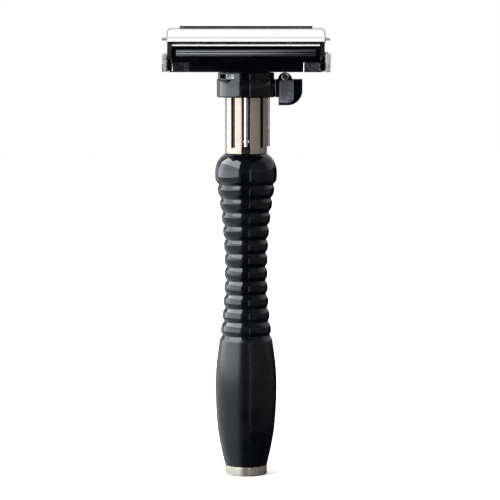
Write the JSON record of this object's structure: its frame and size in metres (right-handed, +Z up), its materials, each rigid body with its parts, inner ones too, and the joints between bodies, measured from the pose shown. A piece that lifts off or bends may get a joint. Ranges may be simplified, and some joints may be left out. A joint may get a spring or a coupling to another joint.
{
  "type": "double-edge safety razor",
  "caption": "Double-edge safety razor with a butterfly head: a collar with a thumb tab turns to swing the chrome doors open over the blade, on a slotted neck and ribbed handle.",
  "frame": {"origin": "centre of the foot's flat underside, at the middle of the object's box", "axes": "+Z up the handle to the head, +X to the side of the thumb tab with the doors closed, -Y to the front door"},
  "size_m": [0.043, 0.0244, 0.1164],
  "materials": {
    "black_gloss": "deep black moulded plastic with a high gloss",
    "black_plastic": "black moulded plastic, semi-gloss",
    "grey_satin": "dark grey satin plastic",
    "chrome": "mirror chrome plating",
    "nickel": "polished nickel plating, slightly warm",
    "satin_nickel": "satin nickel plating, warm",
    "steel": "plain pressed and turned steel",
    "dark_steel": "blackened steel",
    "blade_steel": "polished stainless blade strip"
  },
  "bodies": {
    "handle_body": {"handle_grip": "black_gloss", "foot_cap": "satin_nickel", "core_rod": "steel", "neck_ring": "nickel", "neck_tube": "nickel", "head_base": "black_plastic", "front_guard_bar": "black_plastic", "rear_guard_bar": "black_plastic", "blade_rail": "steel", "blade": "blade_steel", "right_end_bracket": "steel", "left_end_bracket": "steel", "front_left_hinge_pin": "steel", "front_right_hinge_pin": "steel", "rear_left_hinge_pin": "steel", "rear_right_hinge_pin": "steel"},
    "collar_body": {"control_collar": "black_gloss", "cam_sleeve": "steel", "thumb_tab": "black_gloss", "tab_rivet": "steel", "front_tab_pad": "grey_satin", "rear_tab_pad": "grey_satin"},
    "slider_body": {"slider_core": "steel", "front_key": "nickel", "rear_key": "nickel", "side_fin": "nickel", "lift_bar": "steel", "front_left_lift_pin": "steel", "front_right_lift_pin": "steel", "rear_left_lift_pin": "steel", "rear_right_lift_pin": "steel"},
    "front_door_body": {"front_door": "chrome", "front_right_door_arm": "dark_steel", "front_left_door_arm": "dark_steel"},
    "rear_door_body": {"rear_door": "chrome", "rear_left_door_arm": "dark_steel", "rear_right_door_arm": "dark_steel"}
  },
  "joints": [
    {"name": "collar_turn", "type": "hinge", "parent": "handle_body", "child": "collar_body", "pos_m": [0, 0, 0.101], "axis": [0, 0, 1], "range_deg": [0, 90]},
    {"name": "slider_lift", "type": "slide", "parent": "handle_body", "child": "slider_body", "axis": [0, 0, 1], "range_m": [0, 0.004]},
    {"name": "front_door_swing", "type": "hinge", "parent": "handle_body", "child": "front_door_body", "pos_m": [0, -0.0107, 0.1083], "axis": [1, 0, 0], "range_deg": [0, 70]},
    {"name": "rear_door_swing", "type": "hinge", "parent": "handle_body", "child": "rear_door_body", "pos_m": [0, 0.0107, 0.1083], "axis": [-1, 0, 0], "range_deg": [0, 70]}
  ],
  "couplings": [
    {"joint": "collar_turn", "follows": "slider_lift", "rad_per_m": 392.69},
    {"joint": "front_door_swing", "follows": "slider_lift", "rad_per_m": 305.4},
    {"joint": "rear_door_swing", "follows": "slider_lift", "rad_per_m": 305.4}
  ]
}
